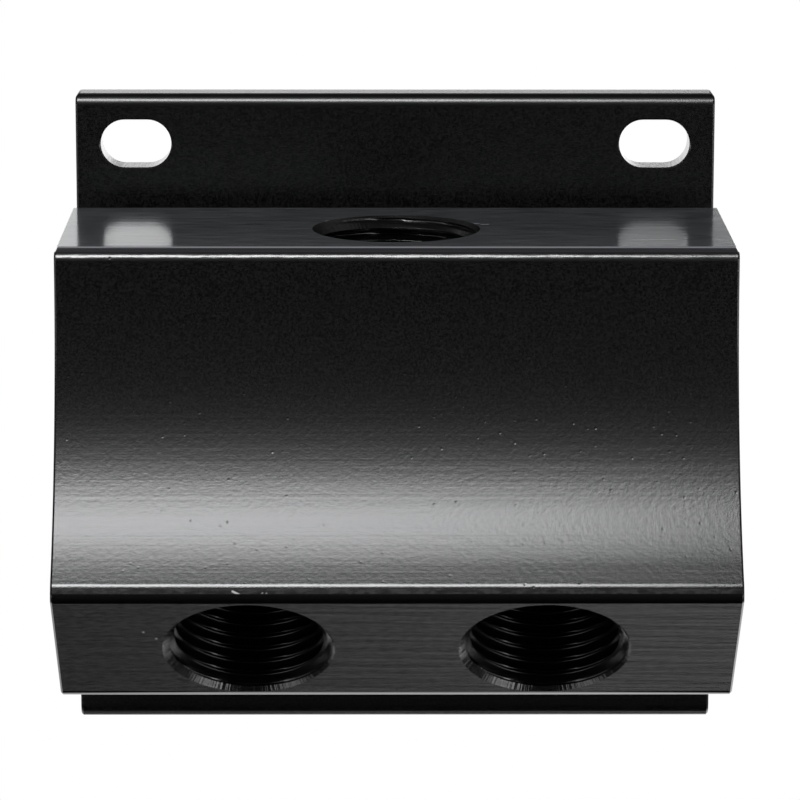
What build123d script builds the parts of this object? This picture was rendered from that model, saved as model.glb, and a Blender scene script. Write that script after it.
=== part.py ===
"""Compressed-air manifold for a wall: one threaded inlet on top, two threaded outlets below.

The real object is one piece of aluminium. A long bar is extruded with the side profile, cut to
length, faced where the ports go, drilled, tapped and slotted, and then anodised black. This file
takes the same steps in the same order.

Frame, in millimetres: X runs along the extrusion, Y = 0 is the wall with the front towards -Y,
and Z = 0 is the height of the two wall slots. X = 0 is midway between them.
"""

import os
from math import cos, radians, sin, sqrt, tan

from build123d import *

os.makedirs("parts", exist_ok=True)

# The bar and its wall flange
bar_length = 85.0             # cut length of the extrusion, along X
flange_thickness = 5.0        # upper wall flange, front to back
flange_rise = 14.1            # upper flange above the top of the block
flange_edge_radius = 1.5      # rounding of the flange's front top edge
slot_drop = 6.6               # flange top down to the slot centres

# The open channel between the flange and the block
channel_width = 7.1
channel_depth = 6.0
channel_radius = 1.5          # inside corners of the channel

# The block's side profile
block_depth = 35.4            # channel to the front face, at the top
block_height = 57.32          # top of the block to its underside
top_edge_radius = 1.2
front_straight = 2.0          # upright stretch below the top edge
front_radius = 55.0           # hollow of the front face
nose_flat_width = 2.06        # narrow flat at the nose, between its two sharp corners
nose_flat_tilt = 22.5         # how far the flat looks up from straight ahead
nose_upper_radius = 2.1       # rounding from the hollow onto the flat
nose_lower_radius = 1.6       # rounding from the flat onto the extruded slant
port_face_tilt = 45.0         # how far the port face looks down from straight ahead
port_face_setback = 1.65      # port face behind the upright line, at the underside's level
heel_radius = 3.5             # rounding where the port face meets the underside

# The foot, the thicker lower end of the wall side
foot_thickness = 10.0
foot_drop = 13.0              # underside of the block down to the foot's lower edge
foot_edge_radius = 2.0
foot_fillet = 2.0             # inside corner between the underside and the foot

# Facing cuts into the extruded surface
port_face_cut = 0.11
top_face_cut = 0.12
top_face_land = 3.9           # strip behind the front edge that stays as extruded

# Ports: G 1/2 threads, drawn at their core diameter, with a countersunk mouth
thread_core_diameter = 18.63
mouth_diameter = 21.5
mouth_angle = 90.0            # included angle of the countersink
drill_point_angle = 118.0
inlet_setback = 29.0          # wall to the inlet's centre
inlet_thread_depth = 18.0     # full thread, below the block's top
feed_bore_diameter = 15.0     # narrower bore below the inlet's thread
feed_bore_depth = 34.0        # its full diameter, below the block's top
outlet_spacing = 36.9         # between the two outlet centres
outlet_drop = 48.9            # top of the block down to the outlet centres
outlet_depth = 17.0           # full diameter, along the outlet's own axis

# Slanted drillings that join the outlets to the inlet, made through the outlet mouths
crossing_diameter = 8.0
crossing_outlet_depth = 6.0   # depth at which the drilling crosses the outlet's axis
crossing_inlet_depth = 24.0   # depth at which it meets the inlet's axis

# Wall slots
slot_inset = 8.0              # bar's end to the slot's centre
slot_length = 9.4
slot_height = 6.4
slot_bevel = 0.2

# Deburred ends and corners
end_bevel = 0.25              # all round both sawn ends
flange_corner_radius = 0.65   # upper corners of the flange, seen from the front
foot_corner_radius = 0.85     # lower right corner of the foot
corner_bevel_width = 0.5      # the foot's left corner is filed flat instead
corner_bevel_height = 1.1

# Levels and stations worked out from the sizes above
flange_top = slot_drop
block_top = flange_top - flange_rise
extruded_top = block_top + top_face_cut
underside = block_top - block_height
foot_bottom = underside - foot_drop
channel_floor = block_top - channel_depth
block_back = -(flange_thickness + channel_width)
block_front = block_back - block_depth
slot_spacing = bar_length - 2 * slot_inset
arc_top = block_top - front_straight
arc_centre_y = block_front - front_radius
tilt = radians(port_face_tilt)
flat_tilt = radians(nose_flat_tilt)
face_foot = block_front + port_face_setback
extruded_foot = face_foot - port_face_cut / cos(tilt)


def tilted_line_y(z, foot):
    """Y at level z on a line with the port face's tilt that meets the underside at Y = foot."""
    return foot - (z - underside) * tan(tilt)


def front_arc_y(z):
    """Y of the hollow front face at level z, on its circle."""
    return arc_centre_y + sqrt(front_radius**2 - (z - arc_top) ** 2)


def nose_top_level():
    """Level of the sharp corner between the hollow front and the flat at the nose.

    The flat starts on the extruded slant and runs up to the hollow. Wherever it starts, its upper
    end lies on a line parallel to the slant. That line, put into the circle of the hollow, gives
    a quadratic for the drop below the arc's top. Its lower root is the corner.
    """
    slope = tan(tilt)
    rise = nose_flat_width * cos(flat_tilt)
    lean = nose_flat_width * sin(flat_tilt)
    reach = tilted_line_y(arc_top - rise, extruded_foot) + lean - arc_centre_y
    root = sqrt(front_radius**2 * (1 + slope**2) - reach**2)
    return arc_top + (slope * reach - root) / (1 + slope**2)


nose_top_z = nose_top_level()
nose_top_y = front_arc_y(nose_top_z)
nose_low_z = nose_top_z - nose_flat_width * cos(flat_tilt)
nose_low_y = nose_top_y - nose_flat_width * sin(flat_tilt)
arc_middle_z = (arc_top + nose_top_z) / 2

# Corners of the side profile as (y, z), each with its rounding
profile_roundings = [
    ((-flange_thickness, flange_top), flange_edge_radius),
    ((-flange_thickness, channel_floor), channel_radius),
    ((block_back, channel_floor), channel_radius),
    ((block_front, extruded_top), top_edge_radius),
    ((nose_top_y, nose_top_z), nose_upper_radius),
    ((nose_low_y, nose_low_z), nose_lower_radius),
    ((-foot_thickness, underside), foot_fillet),
    ((-foot_thickness, foot_bottom), foot_edge_radius),
]

# The side profile, seen from the end of the bar, with the slant already faced for the outlets
with BuildSketch(Plane.YZ) as profile:
    with BuildLine():
        Polyline(
            (block_front, arc_top),
            (block_front, extruded_top),
            (block_back, extruded_top),
            (block_back, channel_floor),
            (-flange_thickness, channel_floor),
            (-flange_thickness, flange_top),
            (0, flange_top),
            (0, foot_bottom),
            (-foot_thickness, foot_bottom),
            (-foot_thickness, underside),
            (extruded_foot, underside),
            (nose_low_y, nose_low_z),
            (nose_top_y, nose_top_z),
        )
        ThreePointArc(
            (nose_top_y, nose_top_z),
            (front_arc_y(arc_middle_z), arc_middle_z),
            (block_front, arc_top),
        )
    make_face()
    for corner, radius in profile_roundings:
        fillet(profile.vertices().sort_by_distance((*corner, 0))[0], radius)
    with Locations((face_foot, underside)):
        Rectangle(
            2 * block_height,
            nose_lower_radius,
            rotation=90 + port_face_tilt,
            align=(Align.CENTER, Align.MIN),
            mode=Mode.SUBTRACT,
        )
    fillet(profile.vertices().sort_by_distance((face_foot, underside, 0))[0], heel_radius)

# The front view's outline, which rounds the outer corners of flange and foot
with BuildSketch(Plane.XZ) as outline:
    with Locations((0, (flange_top + foot_bottom) / 2)):
        Rectangle(bar_length, flange_top - foot_bottom)
    lower_left, lower_right = outline.vertices().group_by(Axis.Y)[0].sort_by(Axis.X)
    fillet(outline.vertices().group_by(Axis.Y)[-1], flange_corner_radius)
    fillet(lower_right, foot_corner_radius)
    chamfer(lower_left, corner_bevel_width, corner_bevel_height)

# Port mouths: the plane's origin is the mouth's centre and its Z axis points out of the metal
out_of_slant = (0, -cos(tilt), -sin(tilt))
outlet_z = block_top - outlet_drop
outlet_y = tilted_line_y(outlet_z, face_foot)
inlet_mouth = Plane((0, -inlet_setback, block_top), x_dir=(1, 0, 0), z_dir=(0, 0, 1))
outlet_mouths = [
    Plane((side * outlet_spacing / 2, outlet_y, outlet_z), x_dir=(1, 0, 0), z_dir=out_of_slant)
    for side in (-1, 1)
]


def port_section(mouth, *bores):
    """Half section of a port, beside its axis.

    The bores are (diameter, depth) pairs from the mouth inwards. Each one ends in the cone left
    by its drill, which runs in to the next bore or to the axis.
    """
    cone_slope = tan(radians(drill_point_angle / 2))
    core_radius = bores[0][0] / 2
    mouth_radius = mouth_diameter / 2
    mouth_depth = (mouth_radius - core_radius) / tan(radians(mouth_angle / 2))
    corners = [(0, 0), (mouth_radius, 0), (core_radius, -mouth_depth)]
    for (diameter, depth), (next_diameter, _) in zip(bores, [*bores[1:], (0, 0)]):
        cone_depth = (diameter - next_diameter) / 2 / cone_slope
        corners.append((diameter / 2, -depth))
        corners.append((next_diameter / 2, -depth - cone_depth))
    with BuildSketch(Plane(mouth.origin, x_dir=mouth.x_dir, z_dir=-mouth.y_dir)) as half:
        with BuildLine():
            Polyline(*corners, close=True)
        make_face()
    return half.sketch


with BuildPart() as manifold:
    # The bar, up to the bevels at its ends
    extrude(to_extrude=profile.sketch, amount=bar_length / 2 - end_bevel, both=True)

    # Both sawn ends are deburred all round, so each one draws in by its bevel
    for end in (manifold.faces().sort_by(Axis.X)[0], manifold.faces().sort_by(Axis.X)[-1]):
        extrude(to_extrude=end, amount=end_bevel, taper=45)

    # The top is faced for the inlet, up to the land behind the front edge
    faced_depth = block_depth - top_face_land
    with BuildSketch(Plane.XY.offset(block_top)):
        with Locations((0, block_back - faced_depth / 2)):
            Rectangle(bar_length, faced_depth)
    extrude(amount=top_face_cut, mode=Mode.SUBTRACT)

    # The outer corners are filed
    extrude(to_extrude=outline.sketch, amount=2 * block_depth, mode=Mode.INTERSECT)

    # Ports
    inlet_bores = [
        (thread_core_diameter, inlet_thread_depth),
        (feed_bore_diameter, feed_bore_depth),
    ]
    outlet_bores = [(thread_core_diameter, outlet_depth)]
    ports = [(inlet_mouth, inlet_bores)] + [(mouth, outlet_bores) for mouth in outlet_mouths]
    for mouth, bores in ports:
        axis = Axis(mouth.origin, mouth.z_dir)
        revolve(profiles=port_section(mouth, *bores), axis=axis, mode=Mode.SUBTRACT)
    inlet_end = inlet_mouth.origin - inlet_mouth.z_dir * crossing_inlet_depth
    for mouth in outlet_mouths:
        start = mouth.origin - mouth.z_dir * crossing_outlet_depth
        with BuildSketch(Plane(start, z_dir=inlet_end - start)):
            Circle(crossing_diameter / 2)
        extrude(amount=(inlet_end - start).length, mode=Mode.SUBTRACT)

    # Wall slots, with their edges broken
    with BuildSketch(Plane.XZ):
        with GridLocations(slot_spacing, 0, 2, 1):
            SlotOverall(slot_length, slot_height)
    extrude(amount=flange_thickness, mode=Mode.SUBTRACT)
    rims = [
        edge
        for edge in manifold.edges()
        if abs(edge.center().Z) <= slot_height / 2
        and abs(abs(edge.center().X) - slot_spacing / 2) <= slot_length / 2
        and edge.bounding_box().size.Y < slot_bevel
    ]
    chamfer(rims, slot_bevel)

manifold.part.label = "manifold_body"
export_step(manifold.part, "parts/manifold_body.step")
print("nose flat from", round(nose_top_y, 2), round(nose_top_z, 2))
print("outlet centre at", round(outlet_y, 3), round(outlet_z, 3))
print("volume", round(manifold.part.volume), "mm3,", len(manifold.part.solids()), "solid")
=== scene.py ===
# %% [markdown]
# # A black compressed-air manifold
#
# The real object is one piece of aluminium, cut from a long extruded bar and anodised black. Air
# comes in through the thread on top and leaves through the two threads in the slanted face.
#
# The CAD model carries the true sizes. This notebook loads it as a fixed frame, cuts the real
# thread turns into a copy of it, gives each surface the finish that its tool left, and lights it
# as in a product photograph.

import math

import bmesh
import bpy
import numpy as np
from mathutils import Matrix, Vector


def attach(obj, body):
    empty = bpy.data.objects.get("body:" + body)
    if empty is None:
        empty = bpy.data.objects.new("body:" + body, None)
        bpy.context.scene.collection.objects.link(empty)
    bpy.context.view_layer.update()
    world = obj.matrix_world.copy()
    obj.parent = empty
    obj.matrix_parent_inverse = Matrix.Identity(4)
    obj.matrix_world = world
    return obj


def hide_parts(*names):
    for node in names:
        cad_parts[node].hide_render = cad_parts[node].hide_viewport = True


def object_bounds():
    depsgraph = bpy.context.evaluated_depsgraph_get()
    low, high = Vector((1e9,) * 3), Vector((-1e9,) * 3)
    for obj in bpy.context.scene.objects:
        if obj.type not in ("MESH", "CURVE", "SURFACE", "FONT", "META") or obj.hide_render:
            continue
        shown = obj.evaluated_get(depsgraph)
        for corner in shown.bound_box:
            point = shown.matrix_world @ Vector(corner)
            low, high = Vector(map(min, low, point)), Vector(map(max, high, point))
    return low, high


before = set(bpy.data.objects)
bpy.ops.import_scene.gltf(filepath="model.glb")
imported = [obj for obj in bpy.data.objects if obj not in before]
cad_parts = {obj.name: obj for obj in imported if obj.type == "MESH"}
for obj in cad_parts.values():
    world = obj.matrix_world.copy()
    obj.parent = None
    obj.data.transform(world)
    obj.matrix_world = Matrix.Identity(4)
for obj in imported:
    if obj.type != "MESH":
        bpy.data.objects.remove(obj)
cad_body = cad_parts["manifold_body"]
cad_low, cad_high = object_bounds()
print("CAD box in mm:", [round(1000 * v, 2) for v in (*cad_low, *cad_high)])

# %% [markdown]
# ## The camera
#
# Product photographs are taken from far away with a long lens, so that upright edges stay nearly
# upright. The widths of the flange, the front and the foot in the picture give the distance, the
# depth of the top face gives the tilt, and the slopes of the long edges give a small turn and
# roll. An orthographic camera would be simpler, but it would lose the slight widening of the front
# towards the viewer.

# %% Place the camera
camera_data = bpy.data.cameras.new("product_camera")
camera_data.lens = 193.5
camera_data.sensor_width = 36.0
camera_data.clip_start = 0.05
camera_data.clip_end = 20.0
camera = bpy.data.objects.new("product_camera", camera_data)
camera.location = (-0.003041, -0.572545, 0.08144)
tilt_roll_turn = (78.4233, -0.0654, -0.3612)
camera.rotation_euler = [math.radians(angle) for angle in tilt_roll_turn]
bpy.context.scene.collection.objects.link(camera)
bpy.context.scene.camera = camera
print("camera at", [round(v, 4) for v in camera.location])

# %% [markdown]
# ## Helpers for shader nodes
#
# The world and every material are graphs of nodes. By hand one drags the nodes in and joins them.
# In a script that takes several lines for each node, so these helpers add one, fill in its values
# and link it in a single call, and the cells below can be read in the order of the graph.


# %% A short way to add shader nodes
def add_node(tree, kind, links=(), operation=None, **values):
    """Adds one shader node, sets its named inputs, links others to it, and returns it.

    Each entry of links is (input name or number, output socket). An input given by number in
    values is written as i0, i1 and so on.
    """
    node = tree.nodes.new(kind)
    if operation:
        node.operation = operation
    for name, value in values.items():
        key = int(name[1:]) if name[0] == "i" and name[1:].isdigit() else name
        if isinstance(key, str) and key not in node.inputs:
            setattr(node, key, value)
        else:
            node.inputs[key].default_value = value
    for key, socket in links:
        tree.links.new(socket, node.inputs[key])
    return node


def maths(tree, operation, *terms, clamp=False):
    """A Math node whose terms are numbers or output sockets. Returns its output."""
    node = tree.nodes.new("ShaderNodeMath")
    node.operation = operation
    node.use_clamp = clamp
    for slot, term in enumerate(terms):
        if isinstance(term, (int, float)):
            node.inputs[slot].default_value = term
        else:
            tree.links.new(term, node.inputs[slot])
    return node.outputs[0]


def scaled(tree, value, factor):
    """The value times a number."""
    return maths(tree, "MULTIPLY", value, factor)


def map_range(tree, value, low, high, to_low=0.0, to_high=1.0, kind="SMOOTHSTEP"):
    """Maps the range low to high onto to_low to to_high, and holds the value beyond it."""
    limits = {"From Min": low, "From Max": high, "To Min": to_low, "To Max": to_high}
    node = add_node(
        tree, "ShaderNodeMapRange", [("Value", value)], interpolation_type=kind, **limits
    )
    return node.outputs[0]


def ramp(tree, factor, stops):
    """A colour ramp of greys from (position, grey) pairs. Returns its colour output."""
    node = tree.nodes.new("ShaderNodeValToRGB")
    elements = node.color_ramp.elements
    while len(elements) > 1:
        elements.remove(elements[-1])
    for count, (position, grey) in enumerate(stops):
        element = elements[0] if count == 0 else elements.new(position)
        element.position = position
        element.color = (grey, grey, grey, 1.0)
    tree.links.new(factor, node.inputs[0])
    return node.outputs[0]


def mixed_colour(tree, factor, first, second):
    """The first colour where the factor is 0, the second where it is 1."""
    links = [("Factor", factor), (6, first), (7, second)]
    return add_node(tree, "ShaderNodeMix", links, data_type="RGBA").outputs[2]


def mixed_shader(tree, factor, first, second):
    """The first shader where the factor is 0, the second where it is 1."""
    return add_node(tree, "ShaderNodeMixShader", [(0, factor), (1, first), (2, second)]).outputs[0]


def blank_tree(owner):
    """Empties the node tree of a world or material and returns it."""
    owner.use_nodes = True
    owner.node_tree.nodes.clear()
    return owner.node_tree


print("node helpers ready")

# %% [markdown]
# ## The studio
#
# The photograph has a plain white background, yet the metal is black, because a photographer hangs
# black cloth wherever the metal would mirror something pale. Real cloth could stand in the scene
# as cards. Here the world itself plays the studio, because a curve of brightness over height is
# easier to tune: the camera sees white, a reflection sees cloth and pale gaps between it, and
# diffuse light gets an even, dim fill.

# %% What reflections see
# Height is an angle about the part's long axis, in degrees: 0 is the camera's side, 90 is up,
# 180 is behind and -90 is down. Each row is (height, grey on the left, grey on the right).
studio_greys = [
    (-180, 1.80, 2.20),
    (-168, 1.50, 1.90),
    (-164, 0.60, 1.40),
    (-150, 0.60, 1.30),
    (-140, 1.00, 1.25),
    (-128, 1.05, 1.25),
    (-123, 0.00, 0.00),
    (-107, 0.00, 0.00),
    (-100, 0.36, 1.30),
    (-94, 0.36, 1.30),
    (-86, 0.00, 0.00),
    (-26, 0.00, 0.00),
    (-14, 0.02, 0.02),
    (10, 0.025, 0.025),
    (30, 0.02, 0.02),
    (130, 0.03, 0.03),
    (145, 0.20, 0.20),
    (158, 0.50, 0.50),
    (163, 1.15, 0.27),
    (171, 1.15, 0.27),
    (172.5, 1.80, 2.20),
    (180, 1.80, 2.20),
]
# Far to both sides the studio is one grey at each height, and the left side is dimmer
side_greys = [
    (-180, 0.12), (-165, 0.3), (-155, 2.0), (-130, 2.0), (-122, 0.05),
    (-45, 0.05), (-30, 2.0), (20, 2.0), (30, 0.12), (180, 0.12),
]
brightest = 2.2
left_to_right = 0.10
left_share = 0.6
sides_begin, sides_full = 0.40, 0.58
fill_strength = 0.25
print("studio rows:", len(studio_greys), "and", len(side_greys))

# %% [markdown]
# ## The grey in each direction
#
# A world shader gets the direction of the ray that asks for light. Its height picks a grey from
# the rows, and its share of X tells left from right and the middle from the far sides.

# %% Look the greys up by direction
scene = bpy.context.scene
scene.view_settings.view_transform = "Standard"
world = bpy.data.worlds.new("studio")
scene.world = world
world.cycles.sampling_method = "NONE"
tree = blank_tree(world)
direction = add_node(tree, "ShaderNodeTexCoord").outputs["Generated"]
split = add_node(tree, "ShaderNodeSeparateXYZ", [(0, direction)])
x_way, y_way, z_way = split.outputs
height = maths(tree, "ARCTAN2", z_way, maths(tree, "MULTIPLY", y_way, -1.0))
along = maths(tree, "MULTIPLY_ADD", height, 0.5 / math.pi, 0.5)
left_grey = ramp(tree, along, [((h + 180) / 360, a / brightest) for h, a, b in studio_greys])
right_grey = ramp(tree, along, [((h + 180) / 360, b / brightest) for h, a, b in studio_greys])
side_grey = ramp(tree, along, [((h + 180) / 360, a / brightest) for h, a in side_greys])
to_right = map_range(tree, x_way, -left_to_right, left_to_right)
far_side = map_range(tree, maths(tree, "ABSOLUTE", x_way), sides_begin, sides_full)
across = mixed_colour(tree, to_right, left_grey, right_grey)
dimmed = maths(tree, "MULTIPLY_ADD", to_right, 1.0 - left_share, left_share)
side_light = add_node(
    tree, "ShaderNodeVectorMath", [(0, side_grey), ("Scale", dimmed)], operation="SCALE"
).outputs[0]
seen_colour = mixed_colour(tree, far_side, across, side_light)
print("greys by direction ready")

# %% [markdown]
# ## One world for three kinds of ray
#
# A Light Path node tells what kind of ray is asking. That is a trick that no real room can do, but
# it stands for what cloth, background paper and a reflector do together in a studio.

# %% White for the camera, cloth for reflections, a dim fill for the rest
path = add_node(tree, "ShaderNodeLightPath").outputs
mirrored = add_node(
    tree, "ShaderNodeBackground", [("Color", seen_colour)], Strength=brightest
).outputs[0]
plain_white = add_node(tree, "ShaderNodeBackground", Color=(1, 1, 1, 1), Strength=1.0).outputs[0]
fill = add_node(
    tree, "ShaderNodeBackground", Color=(1, 1, 1, 1), Strength=fill_strength
).outputs[0]
glossy = maths(tree, "MAXIMUM", path["Is Glossy Ray"], path["Is Transmission Ray"])
unseen = mixed_shader(tree, glossy, fill, mirrored)
surroundings = mixed_shader(tree, path["Is Camera Ray"], unseen, plain_white)
add_node(tree, "ShaderNodeOutputWorld", [("Surface", surroundings)])
print("world:", world.name)

# %% [markdown]
# ## Helpers for meshes
#
# Both the floor and the tap's groove are grids of points. NumPy works the points out from a
# formula all at once, and one helper joins neighbours to faces. Blender's own grid and screw tools
# could make them too, but a formula says plainly what the shape is.


# %% A grid surface from arrays
def grid_mesh(name, points, close_u=False):
    """Mesh of a grid of points of shape (rows, columns, 3).

    Neighbouring points make a face, and close_u joins the last column to the first.
    """
    rows, columns = points.shape[:2]
    index = np.arange(rows * columns).reshape(rows, columns)
    right = np.roll(index, -1, axis=1)
    if not close_u:
        index, right = index[:, :-1], right[:, :-1]
    quads = np.stack([index[:-1], right[:-1], right[1:], index[1:]], axis=-1).reshape(-1, 4)
    mesh = bpy.data.meshes.new(name)
    mesh.from_pydata(points.reshape(-1, 3), [], quads)
    return mesh


def add_object(name, mesh):
    """Links a new object for the mesh into the scene and returns it."""
    piece = bpy.data.objects.new(name, mesh)
    bpy.context.scene.collection.objects.link(piece)
    return piece


print("mesh helpers ready")

# %% [markdown]
# ## The floor
#
# The part hangs on a wall in use, so the floor lies some way below it. It is white, and in its
# middle it also takes light and shadow, so that the part has a soft shadow in a view from above.
# The metal does not mirror it, because the studio's own cloth lies there.

# %% White floor
floor_drop = 0.12
floor_half = 2.5
middle_radius, edge_radius = 0.15, 0.40
middle_white = 0.6
floor_level = cad_low.z - floor_drop
side = np.linspace(-floor_half, floor_half, 3)
floor_x, floor_y = np.meshgrid(side, side)
floor_points = np.stack([floor_x, floor_y, np.full_like(floor_x, floor_level)], axis=-1)
floor = add_object("floor", grid_mesh("floor", floor_points))
print("floor at", round(1000 * floor_level, 1), "mm")

# %% Paint that is plain white at the edges and takes a shadow in the middle
floor_paint = bpy.data.materials.new("white_floor")
tree = blank_tree(floor_paint)
where = add_node(tree, "ShaderNodeTexCoord").outputs["Object"]
distance = add_node(tree, "ShaderNodeVectorMath", [(0, where)], operation="LENGTH").outputs["Value"]
own_white = map_range(tree, distance, middle_radius, edge_radius, middle_white, 1.0)
path = add_node(tree, "ShaderNodeLightPath").outputs
seen = maths(tree, "MAXIMUM", path["Is Camera Ray"], path["Is Glossy Ray"])
seen = maths(tree, "MAXIMUM", seen, path["Is Transmission Ray"])
share = maths(tree, "MULTIPLY", own_white, seen)
matt = add_node(tree, "ShaderNodeBsdfDiffuse", Color=(0.8, 0.8, 0.8, 1.0)).outputs[0]
white = add_node(tree, "ShaderNodeEmission", Strength=1.0).outputs[0]
add_node(
    tree, "ShaderNodeOutputMaterial", [("Surface", mixed_shader(tree, share, matt, white))]
)
floor.data.materials.append(floor_paint)
floor.visible_glossy = False
print("floor painted:", floor_paint.name)

# %% [markdown]
# ## The soft light
#
# One wide soft light above the camera makes the bright band along the hollow front. It stands a
# little to the left, which is why the band fades towards the right. A smaller lamp would make a
# narrow, hard streak there, because so smooth a surface shows the lamp's own shape.

# %% Soft light above the camera
key_data = bpy.data.lights.new("soft_light", "AREA")
key_data.shape = "RECTANGLE"
key_data.size = 0.55
key_data.size_y = 0.185
key_data.energy = 4.5
key_data.color = (0.98, 0.985, 1.0)
key = bpy.data.objects.new("soft_light", key_data)
hollow_middle = Vector((0.0, -0.055, -0.040))
key_elevation = math.radians(53.2)
key_distance = 0.7
key_x = -0.19
key_way = Vector((0.0, -math.cos(key_elevation), math.sin(key_elevation)))
key.location = hollow_middle + key_distance * key_way
key.location.x = key_x
aim = Vector((key.location.x, hollow_middle.y, hollow_middle.z)) - key.location
key.rotation_mode = "QUATERNION"
key.rotation_quaternion = aim.to_track_quat("-Z", "Y")
scene.collection.objects.link(key)
print("light at", [round(v, 3) for v in key.location])

# %% [markdown]
# ## A copy of the body to cut threads into
#
# The CAD body has plain bores at the thread's core diameter. A picture of thread lines would look
# flat at the mouths, where the turns catch the light, so the turns are cut for real. The CAD mesh
# stays as it is: a copy is merged into one closed skin, and the copy is cut.

# %% Merge a copy of the CAD body
corners = np.empty(3 * len(cad_body.data.vertices))
cad_body.data.vertices.foreach_get("co", corners)
corners = corners.reshape(-1, 3)
triangles = np.empty(3 * len(cad_body.data.polygons), dtype=np.int32)
cad_body.data.polygons.foreach_get("vertices", triangles)
places, merged = np.unique(np.round(corners, 7), axis=0, return_inverse=True)
triangles = merged.reshape(-1)[triangles].reshape(-1, 3)
whole = (np.diff(np.sort(triangles, axis=1), axis=1) > 0).all(axis=1)
metal_mesh = bpy.data.meshes.new("manifold_metal")
metal_mesh.from_pydata(places, [], triangles[whole])
metal = add_object("manifold_metal", metal_mesh)
shape = bmesh.new()
shape.from_mesh(metal_mesh)
open_edges = sum(not edge.is_manifold for edge in shape.edges)
shape.free()
print("merged copy:", len(places), "corners,", int(whole.sum()), "triangles")
print("open edges:", open_edges)

# %% [markdown]
# ## Where the ports are
#
# The inlet goes straight down from the top face. The two outlets go in square to the slanted face,
# which leans by 45 degrees. The places are those of the CAD body, and both the taps below and the
# finishes further on use them.

# %% Mouths and directions of the three ports
block_top = -0.0075
down = np.array([0, 0, -1.0])
into_slant = np.array([0, math.sqrt(0.5), math.sqrt(0.5)])
inlet_mouth = np.array([0, -0.029, block_top])
left_mouth = np.array([-0.01845, -0.05427, -0.0564])
right_mouth = np.array([0.01845, -0.05427, -0.0564])
ports = [(inlet_mouth, down), (left_mouth, into_slant), (right_mouth, into_slant)]
print("ports:", len(ports))

# %% [markdown]
# ## Pipe threads
#
# A tap leaves a helical groove. Its wall is a surface of two parameters, the angle round the axis
# and the depth. The radius at each point follows a thread form that shifts by one pitch per turn.
# A long swept helix would do too, but this single sheet has no seams and closes with two caps.

# %% The thread form
pitch = 1.814e-3
core_radius = 9.315e-3
groove_radius = 10.478e-3
flank = math.tan(math.radians(27.5))
half_flat = 0.17e-3
below_core = 0.12e-3
run_out_margin = 0.15e-3


def thread_radius(turn, depth, start, full_end, run_out):
    """Radius of the tap's sheet at an angle in turns and at a depth.

    The phase is depth over pitch less the turn. The radius falls from the groove's bottom along
    straight flanks of 27.5 degrees, is held between the groove and just inside the core, and
    sinks into the core over the run-out.
    """
    phase = (depth / pitch - turn - start) % 1.0
    from_bottom = np.abs(phase - 0.5) * pitch
    radius = groove_radius - np.maximum(from_bottom - half_flat, 0) / flank
    gone = np.clip((depth - full_end) / run_out, 0, 1)
    sink = gone * (groove_radius - core_radius + run_out_margin)
    return np.clip(radius - sink, core_radius - below_core, groove_radius - sink)


print("pitch", round(1000 * pitch, 3), "mm, core", round(2000 * core_radius, 2), "mm")


# %% The cutter of one tap
def tap_cutter(name, mouth, into, start, full_end, run_out=3.2e-3, sides=96, per_pitch=14):
    """Closed cutter about an axis: the thread sheet, with a flat cap at each end.

    A point is the mouth plus depth along the axis plus radius times the turning direction.
    """
    into = into / np.linalg.norm(into)
    across = np.array([1.0, 0.0, 0.0])
    upright = np.cross(into, across)
    depth = np.arange(-0.6e-3, full_end + run_out, pitch / per_pitch)
    turn = np.arange(sides) / sides
    turn_grid, depth_grid = np.meshgrid(turn, depth)
    radius = thread_radius(turn_grid, depth_grid, start, full_end, run_out)
    angle = 2 * np.pi * turn_grid
    points = (
        mouth
        + depth_grid[..., None] * into
        + (radius * np.cos(angle))[..., None] * across
        + (radius * np.sin(angle))[..., None] * upright
    )
    mesh = grid_mesh(name, points, close_u=True)
    cutter = add_object(name, mesh)
    skin = bmesh.new()
    skin.from_mesh(mesh)
    bmesh.ops.holes_fill(skin, edges=[e for e in skin.edges if e.is_boundary], sides=0)
    bmesh.ops.recalc_face_normals(skin, faces=skin.faces)
    skin.to_mesh(mesh)
    skin.free()
    return cutter


# Each tap has a name, the turn at which its groove starts, and the depth of its full thread
outlet_tap = ("outlet_tap", 0.73, 12.5e-3)
taps = [("inlet_tap", 0.0, 13.5e-3), outlet_tap, outlet_tap]
cutters = [
    tap_cutter(name, mouth, into, start, full_end)
    for (name, start, full_end), (mouth, into) in zip(taps, ports)
]
print("cutters:", [len(c.data.polygons) for c in cutters])

# %% [markdown]
# ## Tapping
#
# A Boolean takes the cutter's volume out of the metal, as the tap does. The exact solver is the
# slower one, but the turns meet the bore's wall at flat angles, where the fast one can leave
# holes.


# %% Cut the threads
def cut_away(target, cutter):
    """Takes the cutter's volume out of the target and removes the cutter."""
    cut = target.modifiers.new("cut", "BOOLEAN")
    cut.operation = "DIFFERENCE"
    cut.solver = "EXACT"
    cut.object = cutter
    graph = bpy.context.evaluated_depsgraph_get()
    result = bpy.data.meshes.new_from_object(target.evaluated_get(graph), depsgraph=graph)
    target.modifiers.clear()
    old = target.data
    target.data = result
    bpy.data.meshes.remove(old)
    bpy.data.meshes.remove(cutter.data)


for cutter in cutters:
    cut_away(metal, cutter)
print("after the taps:", len(metal.data.vertices), "corners,", len(metal.data.polygons), "faces")
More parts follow.
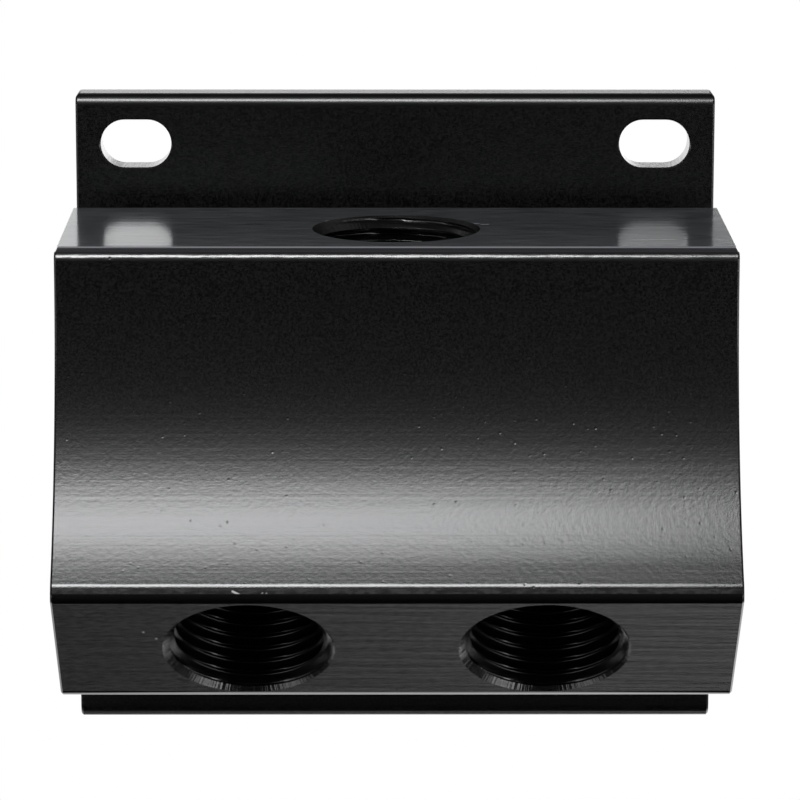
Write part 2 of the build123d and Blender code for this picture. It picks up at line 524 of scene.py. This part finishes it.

# %% [markdown]
# ## The pale line, a painted highlight
#
# The end mill that faced the top stopped short of the front edge and left a small step in the
# strip, whose edge catches the light as a thin bright line. That highlight is painted as a pale
# colour. A texture could draw the line, but its edge is crisp. So a plane splits the faces beside
# it, and the strip between gets a material of its own.

# %% Mark off the strip of the painted highlight along the land
land_edge = -0.0436
line_width = 1.2e-3
line_front = land_edge - line_width
shape = bmesh.new()
shape.from_mesh(metal.data)
everything = [*shape.verts, *shape.edges, *shape.faces]
bmesh.ops.bisect_plane(
    shape, geom=everything, plane_co=(0, line_front, 0), plane_no=(0, 1, 0), dist=1e-7
)
shape.to_mesh(metal.data)
shape.free()
print("with the line:", len(metal.data.polygons), "faces")

# %% [markdown]
# ## Round where it is round
#
# The CAD body comes as flat facets. Smooth shading bends the light across them, so that the hollow
# front and the bores look round, and edges of more than 25 degrees stay crisp. Weighting the
# normals by area keeps the large flat faces flat up to their roundings.

# %% Smooth curved faces and keep real edges sharp
crisp_from = math.radians(25)
for face in metal.data.polygons:
    face.use_smooth = True
metal.data.set_sharp_from_angle(angle=crisp_from)
even = metal.modifiers.new("even_shading", "WEIGHTED_NORMAL")
even.mode = "FACE_AREA"
even.keep_sharp = True
print("sharp edges marked")

# %% [markdown]
# ## Which tool made each face
#
# The body was extruded, but not every face still is. The top and the slant were milled, the ports
# were bored, countersunk and tapped, the ends were sawn, and the long edges are rubbed smooth. A
# texture could mark those areas, but the faces know it already: their place and direction tell
# the tool, so each face gets the material slot of its own finish.

# %% Places and directions of all faces
faces = len(metal.data.polygons)
centre = np.empty(3 * faces)
facing = np.empty(3 * faces)
metal.data.polygons.foreach_get("center", centre)
metal.data.polygons.foreach_get("normal", facing)
centre, facing = centre.reshape(-1, 3), facing.reshape(-1, 3)
x, y, z = centre.T
sideways = np.abs(facing[:, 0])
forward = -facing[:, 1]
level = facing[:, 2]
slanted = facing @ -into_slant
finish_names = [
    "extruded", "rubbed", "nose_flat", "flange_edge", "front_edge", "heel", "milled_top",
    "milled_slant", "turned", "tapped", "sawn", "land", "line",
]
finish = np.zeros(faces, dtype=np.int32)
print(faces, "faces and", len(finish_names), "finishes")

# %% [markdown]
# ## Telling faces by their place
#
# The body is one profile along X. So a face's place in the side view and its direction together
# say which edge or surface it belongs to. Later choices overrule earlier ones.

# %% Regions of the side profile
# Each region is (from y, to y, from z, to z) in metres, and far stands for no limit
far = 1.0
flush = 5e-5
half_length = 0.0425
end_bevel = 0.26e-3
slot_middle, slot_reach = 0.0345, 0.0050
land_end = land_edge + 1e-4
regions = {
    "nose": (-far, -0.0613, -0.0495, -0.0460),
    "flange edge": (-0.0051, far, 0.0050, far),
    "top front edge": (-far, -0.0461, -0.0087, far),
    "block top": (-far, -0.0121, block_top - flush, block_top + flush),
    "land": (-far, land_end, -0.0087, far),
    "line": (line_front, land_end, block_top + flush, far),
    "heel": (-far, -0.0400, -0.0668, -0.0600),
    "slots": (-0.0050, far, -0.0035, 0.0035),
}


def within(region):
    """Tells for each face whether its centre lies in the region of the side profile."""
    y_from, y_to, z_from, z_to = regions[region]
    return (y > y_from) & (y < y_to) & (z > z_from) & (z < z_to)


print("regions:", ", ".join(regions))


# %% Extruded, rubbed, milled and sawn faces
def choose(name, where):
    """Gives the finish to the faces that the mask picks."""
    finish[where] = finish_names.index(name)


straight = 0.999
rounding_end = 0.82
tilted = 0.05
on_nose = within("nose") & (slanted < 0.93)
on_front_edge = within("top front edge") & (level > tilted) & (level < rounding_end)
on_slant = np.abs((centre - left_mouth) @ into_slant) < flush
on_end = np.abs(x) > half_length - end_bevel
on_slots = within("slots") & (np.abs(np.abs(x) - slot_middle) < slot_reach)
choose("rubbed", on_nose)
choose("nose_flat", on_nose & (level > 0.36) & (level < 0.40))
choose("flange_edge", within("flange edge") & (forward > tilted) & (level > tilted))
choose("front_edge", on_front_edge)
choose("milled_top", within("block top") & (level > straight))
choose("land", within("land") & (level >= rounding_end))
choose("line", within("line") & (level > straight))
choose("milled_slant", on_slant & (slanted > straight))
choose("heel", within("heel") & (slanted > 0.70) & (slanted < straight))
choose("sawn", on_end & (sideways > straight))
choose("rubbed", on_end & (sideways < straight))
choose("turned", on_slots & (np.abs(forward) < 0.9))
print(int((finish > 0).sum()), "faces are no longer as extruded")

# %% [markdown]
# ## Telling faces by a port's axis
#
# A face belongs to a port when it lies near the port's axis and below its mouth. The cone of the
# countersink is the part at the mouth that leans by 45 degrees to the axis.

# %% Countersunk and tapped faces
port_reach = 0.036
port_radius = 10.8e-3
cone_depth = 1.5e-3
cone_facing = -math.sqrt(0.5)
in_port = np.full(faces, -1)
for number, (mouth, into) in enumerate(ports):
    from_mouth = centre - mouth
    depth = from_mouth @ into
    radius = np.linalg.norm(from_mouth - depth[:, None] * into, axis=1)
    not_milled = finish < finish_names.index("milled_top")
    inside = (depth > 1e-5) & (depth < port_reach) & (radius < port_radius) & not_milled
    cone = inside & (depth < cone_depth) & (np.abs(facing @ into - cone_facing) < 0.05)
    choose("tapped", inside)
    choose("turned", cone)
    in_port[inside] = number
for number, name in enumerate(finish_names):
    print(name, int((finish == number).sum()), "faces")

# %% [markdown]
# ## Which way the tool went
#
# A tool leaves fine grooves, and grooves stretch a highlight across themselves. The shader needs
# to know their direction. A map of two numbers per corner gives it: U runs across the grooves and
# V along them. On the milled faces both are straight, and in a port V goes round the axis.


# %% The groove map
def turn_about(places, mouth, across, upright):
    """Angle of each place about a port's axis."""
    return np.arctan2((places - mouth) @ upright, (places - mouth) @ across)


def groove_map(mesh, name):
    """UV in units of 10 mm: U across the grooves, V along them.

    The top has (Y, X), the slant (distance down the slant, X), and a port (depth, turning
    angle times its core radius). The angle is taken near that of the face's own centre, so that
    no face is torn at the seam.
    """
    owner = np.empty(len(mesh.loops), dtype=np.int32)
    mesh.loops.foreach_get("vertex_index", owner)
    places = np.empty(3 * len(mesh.vertices))
    mesh.vertices.foreach_get("co", places)
    point = places.reshape(-1, 3)[owner]
    sizes = np.empty(faces, dtype=np.int32)
    mesh.polygons.foreach_get("loop_total", sizes)
    face_of = np.repeat(np.arange(faces), sizes)
    grooves = np.stack([point[:, 1], point[:, 0]], axis=1)
    down_slant = point @ np.array([0, math.sqrt(0.5), -math.sqrt(0.5)])
    is_slant = (finish[face_of] == finish_names.index("milled_slant"))[:, None]
    grooves = np.where(is_slant, np.stack([down_slant, point[:, 0]], axis=1), grooves)
    across = np.array([1.0, 0.0, 0.0])
    for number, (mouth, into) in enumerate(ports):
        upright = np.cross(into, across)
        middle = turn_about(centre, mouth, across, upright)[face_of]
        turn = turn_about(point, mouth, across, upright)
        angle = middle + (turn - middle + np.pi) % (2 * np.pi) - np.pi
        bored = np.stack([(point - mouth) @ into, angle * core_radius], axis=1)
        grooves = np.where((in_port[face_of] == number)[:, None], bored, grooves)
    layer = mesh.uv_layers.new(name=name)
    layer.data.foreach_set("uv", (100 * grooves).reshape(-1))


groove_map(metal.data, "grooves")
print("groove map on", len(metal.data.loops), "corners")

# %% [markdown]
# ## Anodised black
#
# The dye sits in the pores of a clear oxide layer, so the metal is black all through that layer
# and all the light one sees is gloss from its surface. That makes it a plain dielectric with almost
# no colour of its own. Metallic would be wrong, because its gloss would be tinted and far too
# strong. What differs between faces is only how rough the tool left them.


# %% One black skin with a relief
def black_finish(name, roughness, stretch=0.0, colour=0.001, ior=1.6, **more):
    """A material of the common black, and the tools to add a relief to it.

    stretch is the anisotropy: how far the highlight is drawn out across the grooves.
    """
    material = bpy.data.materials.new(name)
    tree = blank_tree(material)
    skin = add_node(
        tree, "ShaderNodeBsdfPrincipled", Roughness=roughness, IOR=ior, Anisotropic=stretch,
        **{"Base Color": (colour, colour, 1.1 * colour, 1.0)}, **more,
    )
    if stretch:
        grooves = add_node(tree, "ShaderNodeTangent", direction_type="UV_MAP", uv_map="grooves")
        tree.links.new(grooves.outputs[0], skin.inputs["Tangent"])
    add_node(tree, "ShaderNodeOutputMaterial", [("Surface", skin.outputs[0])])
    return material, tree, skin


def set_relief(tree, skin, *heights):
    """Adds up heights in metres, lets the skin's surface follow them, and returns the Bump node."""
    total = heights[0]
    for height in heights[1:]:
        total = maths(tree, "ADD", total, height)
    bump = add_node(tree, "ShaderNodeBump", [("Height", total)], Strength=1.0, Distance=1.0)
    tree.links.new(bump.outputs[0], skin.inputs["Normal"])
    tree.links.new(bump.outputs[0], skin.inputs["Coat Normal"])
    return bump


def set_specks(tree, skin, value, darkest, palest, bare_metal_and_painted_shade=0.0):
    """Lets the skin's grey follow a value of about -0.5 to 0.5; the last term adds metal at 1 and
    painted shade below 0.
    """
    bare_grey = 0.5
    grey = map_range(tree, value, -0.15, 0.15, darkest, palest, kind="LINEAR")
    grey = maths(tree, "MULTIPLY_ADD", bare_metal_and_painted_shade, bare_grey, grey)
    tree.links.new(grey, skin.inputs["Base Color"])


print("black skin ready")

# %% [markdown]
# ## Patterns
#
# Grain, die lines and strokes are one noise, drawn out more or less along one direction. Pits are
# cells of a Voronoi pattern, of which only a few are used. Both are formulas, so they have no
# picture behind them and stay sharp at any distance.


# %% Noise and pits
def object_place(tree):
    """The place on the object in metres."""
    return add_node(tree, "ShaderNodeTexCoord").outputs["Object"]


def noise(tree, scale, stretch=(1, 1, 1), turn=(0, 0, 0), detail=2.0, place="Object"):
    """Noise of about -0.5 to 0.5, with scale features per metre, drawn out by the stretch."""
    where = add_node(tree, "ShaderNodeTexCoord").outputs[place]
    size = tuple(s / scale for s in stretch)
    moved = add_node(
        tree, "ShaderNodeMapping", [("Vector", where)],
        vector_type="TEXTURE", Scale=size, Rotation=turn,
    ).outputs[0]
    cloud = add_node(tree, "ShaderNodeTexNoise", [("Vector", moved)], Scale=1.0, Detail=detail)
    return maths(tree, "SUBTRACT", cloud.outputs[0], 0.5)


def pits(tree, per_metre, share, width, seed=0.0):
    """Small dents: cells of a Voronoi pattern of which only a share is used, from 0 to 1.

    The dent is deepest in the middle of its cell and flat beyond the given width in cells.
    """
    moved = add_node(
        tree, "ShaderNodeMapping", [("Vector", object_place(tree))], Location=(seed, seed, seed)
    ).outputs[0]
    cells = add_node(tree, "ShaderNodeTexVoronoi", [("Vector", moved)], Scale=per_metre).outputs
    dent = map_range(tree, cells["Distance"], 0.0, width, 1.0, 0.0)
    pick = add_node(tree, "ShaderNodeSeparateColor", [(0, cells["Color"])]).outputs[0]
    return maths(tree, "MULTIPLY", dent, maths(tree, "LESS_THAN", pick, share))


print("patterns ready")

# %% [markdown]
# ## Knocks and scratches
#
# The black layer is thinner than a hair, and a knock or a scratch goes through it to the pale
# metal. A photograph shows only a few such marks, and each has its own place. So they are not
# noise: each is a dot or a short line whose distance to the surface point gives a soft spot.


# %% Dots and short lines
def dots(tree, points, radius):
    """1 at each of the points and 0 beyond the radius. The points are in metres."""
    where = object_place(tree)
    total = 0.0
    for point in points:
        distance = add_node(
            tree, "ShaderNodeVectorMath", [(0, where)], operation="DISTANCE", i1=point
        ).outputs["Value"]
        spot = map_range(tree, distance, 0.3 * radius, radius, 1.0, 0.0)
        total = maths(tree, "ADD", total, spot)
    return total


def nicks(tree, lines, width):
    """1 along each of the short straight lines (start, end) and 0 beyond the width."""
    where = object_place(tree)
    total = 0.0
    for start, end in lines:
        way = Vector(end) - Vector(start)
        from_start = add_node(
            tree, "ShaderNodeVectorMath", [(0, where)], operation="SUBTRACT", i1=start
        ).outputs[0]
        along = add_node(
            tree, "ShaderNodeVectorMath", [(0, from_start)], operation="DOT_PRODUCT",
            i1=tuple(way / way.length_squared),
        ).outputs["Value"]
        along = maths(tree, "ADD", along, 0.0, clamp=True)
        reached = add_node(
            tree, "ShaderNodeVectorMath", [("Scale", along)], operation="SCALE", i0=tuple(way)
        ).outputs[0]
        distance = add_node(
            tree, "ShaderNodeVectorMath", [(0, from_start), (1, reached)], operation="DISTANCE"
        ).outputs["Value"]
        mark = map_range(tree, distance, 0.2 * width, width, 1.0, 0.0)
        total = maths(tree, "ADD", total, mark)
    return total


print("marks ready")

# %% [markdown]
# ## The extruded skin
#
# Hot metal pressed through a die takes faint lines along the bar from scratches in the die. The
# caustic bath before anodising then etches it to a fine satin grain and leaves some small pits.
# The lines are noise drawn out along X, the grain is noise of 0.2 mm, and the pits are a few cells.

# %% Extruded skin
extruded, tree, skin = black_finish("extruded_black", 0.27)
set_relief(
    tree, skin,
    scaled(tree, noise(tree, 5500.0, detail=1.0), 0.7e-5),
    scaled(tree, noise(tree, 1700.0, detail=1.0), 1.2e-5),
    scaled(tree, noise(tree, 1500.0, stretch=(300, 1, 1), detail=3.0), 1.0e-5),
    scaled(tree, pits(tree, 1100.0, 0.12, 0.24), -2.0e-5),
)
set_specks(tree, skin, noise(tree, 3500.0, detail=1.0), 0.000, 0.007)
print("skin:", extruded.name)

# %% [markdown]
# ## The rubbed edges
#
# The long edges look rubbed, as by hand with an abrasive pad. The pad leaves short strokes along
# the bar over the fine grain. The edges share these strokes and differ in gloss. One material for
# all would be simpler, but in the photograph the edges stand out from each other.


# %% Relief that the edges share
def fine_grain(tree):
    """Height of the grain left under the pad."""
    return scaled(tree, noise(tree, 4500.0), 0.8e-5)


def strokes(tree, deep=1.0e-5):
    """Height of the pad's strokes along the bar."""
    return scaled(tree, noise(tree, 1500.0, stretch=(12, 1, 1)), deep)


def dents(tree):
    """Height of the small dents that handling leaves on an outer edge."""
    return scaled(tree, pits(tree, 900.0, 0.12, 0.25, seed=0.37), -3.0e-5)


print("edge relief ready")

# %% Rubbed, front, flange and heel edges
rubbed, tree, skin = black_finish("rubbed_black", 0.21, ior=1.68)
set_relief(tree, skin, fine_grain(tree), strokes(tree), dents(tree))
# The front edge is uneven, so its highlight breaks up into flecks
front_edge, tree, skin = black_finish("front_edge_black", 0.28, ior=2.0)
flecks = scaled(tree, noise(tree, 700.0, stretch=(3, 1, 1), detail=3.0), 8.0e-5)
set_relief(tree, skin, fine_grain(tree), flecks, dents(tree))
flange_edge, tree, skin = black_finish("flange_edge_black", 0.29, ior=1.75)
set_relief(tree, skin, fine_grain(tree), strokes(tree))
heel, tree, skin = black_finish("heel_black", 0.11)
set_relief(tree, skin, strokes(tree, deep=0.5e-5))
print("edges:", [m.name for m in (rubbed, front_edge, flange_edge, heel)])

# %% [markdown]
# ## The flat on the nose
#
# The nose sticks out furthest and takes the knocks. Its narrow flat is worn a little paler, and it
# has one knock and a pair of scratches left of the middle.

# %% Nose flat with its marks
nose_knock = [((-0.02016, -0.06199, -0.04704), (-0.01930, -0.06214, -0.04742))]
nose_scratches = [
    ((-0.01685, -0.06222, -0.04778), (-0.01649, -0.06206, -0.04721)),
    ((-0.01639, -0.06222, -0.04788), (-0.01600, -0.06208, -0.04726)),
]
nose_flat, tree, skin = black_finish("nose_flat_black", 0.21, ior=1.68)
set_relief(tree, skin, fine_grain(tree), strokes(tree))
knock = nicks(tree, nose_knock, 0.19e-3)
scratches = nicks(tree, nose_scratches, 0.16e-3)
bare_metal_and_painted_shade = maths(tree, "MULTIPLY_ADD", scratches, 0.35, knock)
worn = noise(tree, 1800.0, stretch=(2, 1, 1), detail=3.0)
set_specks(tree, skin, worn, 0.008, 0.032, bare_metal_and_painted_shade)
print("skin:", nose_flat.name)

# %% [markdown]
# ## The milled top
#
# The end mill left straight fine lines along X. They blur a mirrored shape across themselves and
# keep it sharp along them, which is why the two wall slots stand as clear upright streaks on the
# top. Two layers give that: a rough grooved base, and a glossy layer over it that mirrors the
# slots. One layer alone can't give both the clear streaks and the soft grain.
#
# The streaks in the photograph lie a little off the place where a level mirror would put them. A
# cutter that leans by 1.3 degrees leaves each groove with a tilted floor and moves the streaks
# there, while the face as a whole stays level.

# %% Milled top
groove_tilt = 0.0227
grooved_base = 0.36
gloss = {
    "Coat Weight": 1.0,
    "Coat Roughness": 0.11,
    "Coat IOR": 1.65,
    "Coat Tint": (0.9, 0.96, 1.0, 1.0),
}
milled_top, tree, skin = black_finish(
    "milled_top_black", grooved_base, stretch=0.85, colour=0.03, **gloss
)
backwards = add_node(tree, "ShaderNodeSeparateXYZ", [(0, object_place(tree))]).outputs["Y"]
set_relief(
    tree, skin,
    scaled(tree, backwards, groove_tilt),
    scaled(tree, noise(tree, 900.0, stretch=(25, 1, 1), detail=1.0), 2.2e-5),
    scaled(tree, noise(tree, 2600.0, stretch=(40, 1, 1)), 0.9e-5),
)
print("skin:", milled_top.name)

# %% Marks beside the inlet
# The burr on the left is only a painted shadow, a darker line; the other marks are bare metal
inlet_burr_shadow_line = [((-0.00971, -0.02011, block_top), (-0.00898, -0.02167, block_top))]
inlet_knocks = [
    ((-0.00904, -0.02288, block_top), (-0.00884, -0.02288, block_top)),
    ((0.00980, -0.02520, block_top), (0.01060, -0.02490, block_top)),
    ((0.01105, -0.02569, block_top), (0.01180, -0.02569, block_top)),
]
burr_painted_shadow = nicks(tree, inlet_burr_shadow_line, 0.2e-3)
knocks = scaled(tree, nicks(tree, inlet_knocks, 0.3e-3), 0.6)
# A negative share darkens the colour along the burr: painted shadow
bare_metal_and_painted_shade = maths(tree, "MULTIPLY_ADD", burr_painted_shadow, -0.05, knocks)
mottle = noise(tree, 1500.0, stretch=(8, 1, 1), detail=3.0)
set_specks(tree, skin, mottle, 0.012, 0.062, bare_metal_and_painted_shade)
print("marks beside the inlet:", len(inlet_burr_shadow_line) + len(inlet_knocks))

# %% [markdown]
# ## The milled slant
#
# A large cutter swept across the slant, so its lines are very flat arcs. Two noises that are
# turned a little against each other give their crossing, because the rear of the cutter marks the
# face again on its way. Three small knocks on it show bare metal.

# %% Milled slant
slant_knocks = [
    (-0.03139, -0.05723, -0.05344), (-0.02984, -0.05611, -0.05456), (-0.01640, -0.06145, -0.04922),
]
first_pass = (0, 0.02, 0.02)
second_pass = (0, -0.03, -0.03)
milled_slant, tree, skin = black_finish("milled_slant_black", 0.19, stretch=0.8)
set_relief(
    tree, skin,
    scaled(tree, noise(tree, 900.0, stretch=(25, 1, 1), turn=first_pass, detail=1.0), 5.0e-5),
    scaled(tree, noise(tree, 2200.0, stretch=(30, 1, 1), turn=second_pass), 2.0e-5),
    scaled(tree, noise(tree, 5000.0, detail=1.0), 1.5e-5),
    scaled(tree, pits(tree, 500.0, 0.05, 0.12, seed=0.11), -4.0e-5),
)
bare_metal_and_painted_shade = scaled(tree, dots(tree, slant_knocks, 0.24e-3), 0.7)
mottle = noise(tree, 2500.0, stretch=(3, 1, 1), detail=3.0)
set_specks(tree, skin, mottle, 0.000, 0.020, bare_metal_and_painted_shade)
print("skin:", milled_slant.name)

# %% [markdown]
# ## Countersinks
#
# A countersink cuts in a ring and chatters a little, so its cone has fine rings and short strokes
# across them. The groove map has depth and turn as its two numbers, so noise drawn out along the
# one or the other gives both.

# %% Countersunk skin
turned, tree, skin = black_finish("turned_black", 0.22, stretch=0.3, ior=1.95)
set_relief(
    tree, skin,
    scaled(tree, noise(tree, 40.0, stretch=(1, 20, 1), place="UV"), 1.2e-5),
    scaled(tree, noise(tree, 35.0, stretch=(12, 1, 1), detail=1.0, place="UV"), 7.0e-5),
)
print("skin:", turned.name)

# %% [markdown]
# ## Threads
#
# The tap smears the flanks smooth. It leaves no knife edge on a crest either: the corners are worn
# round by a tenth of a millimetre, and that round is what catches the light. Real bevels on every
# turn would need many more faces, and a Bevel node bends only the shading there.

# %% Tapped skin
crest_round = 0.12e-3
tapped, tree, skin = black_finish("tapped_black", 0.20, ior=1.8)
bump = set_relief(tree, skin, scaled(tree, noise(tree, 4000.0), 1.0e-5))
crest = add_node(tree, "ShaderNodeBevel", samples=8, Radius=crest_round)
tree.links.new(crest.outputs[0], bump.inputs["Normal"])
print("skin:", tapped.name)

# %% [markdown]
# ## Sawn ends
#
# The saw cut the bar to length and left straight lines on both ends, a little off the upright. The
# ends show only in views from the side.

# %% Sawn skin
sawn, tree, skin = black_finish("sawn_black", 0.34)
set_relief(
    tree, skin,
    scaled(tree, noise(tree, 1400.0, stretch=(1, 1, 40), turn=(0.12, 0, 0), detail=3.0), 5.0e-5),
    scaled(tree, noise(tree, 5000.0, detail=1.0), 1.0e-5),
)
print("skin:", sawn.name)

# %% [markdown]
# ## The land behind the front edge
#
# No tool touched this strip, so it kept its etched grain and mirrors nothing. A refractive index
# near 1 takes its gloss away, which leaves the soft grey that scattered light gives. The pale line
# along it is the same surface with a paler colour, a painted highlight of the step's edge.

# %% Etched land and the line of painted highlight
land, tree, skin = black_finish("etched_land_black", 0.60, colour=0.027, ior=1.05)
set_relief(tree, skin, scaled(tree, noise(tree, 3000.0), 1.0e-5))
# The pale colour of this strip is a painted highlight of the step's edge
line, tree, skin = black_finish("painted_highlight_line", 0.60, colour=0.20, ior=1.05)
streaks = noise(tree, 2600.0, stretch=(60, 1, 1), detail=3.0)
set_relief(tree, skin, scaled(tree, streaks, 1.5e-5))
print("skins:", land.name, line.name)

# %% [markdown]
# ## Dress the faces
#
# The materials go onto the mesh in the order of the list of finishes, so a face's number in that
# list is also its material slot.

# %% Give each face its finish
metal.data.materials.clear()
for material in (
    extruded, rubbed, nose_flat, flange_edge, front_edge, heel, milled_top, milled_slant, turned,
    tapped, sawn, land, line,
):
    metal.data.materials.append(material)
metal.data.polygons.foreach_set("material_index", finish)
print("materials:", [m.name for m in metal.data.materials])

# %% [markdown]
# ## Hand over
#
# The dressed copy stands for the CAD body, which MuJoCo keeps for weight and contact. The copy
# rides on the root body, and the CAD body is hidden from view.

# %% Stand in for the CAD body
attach(metal, "root")
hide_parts("manifold_body")
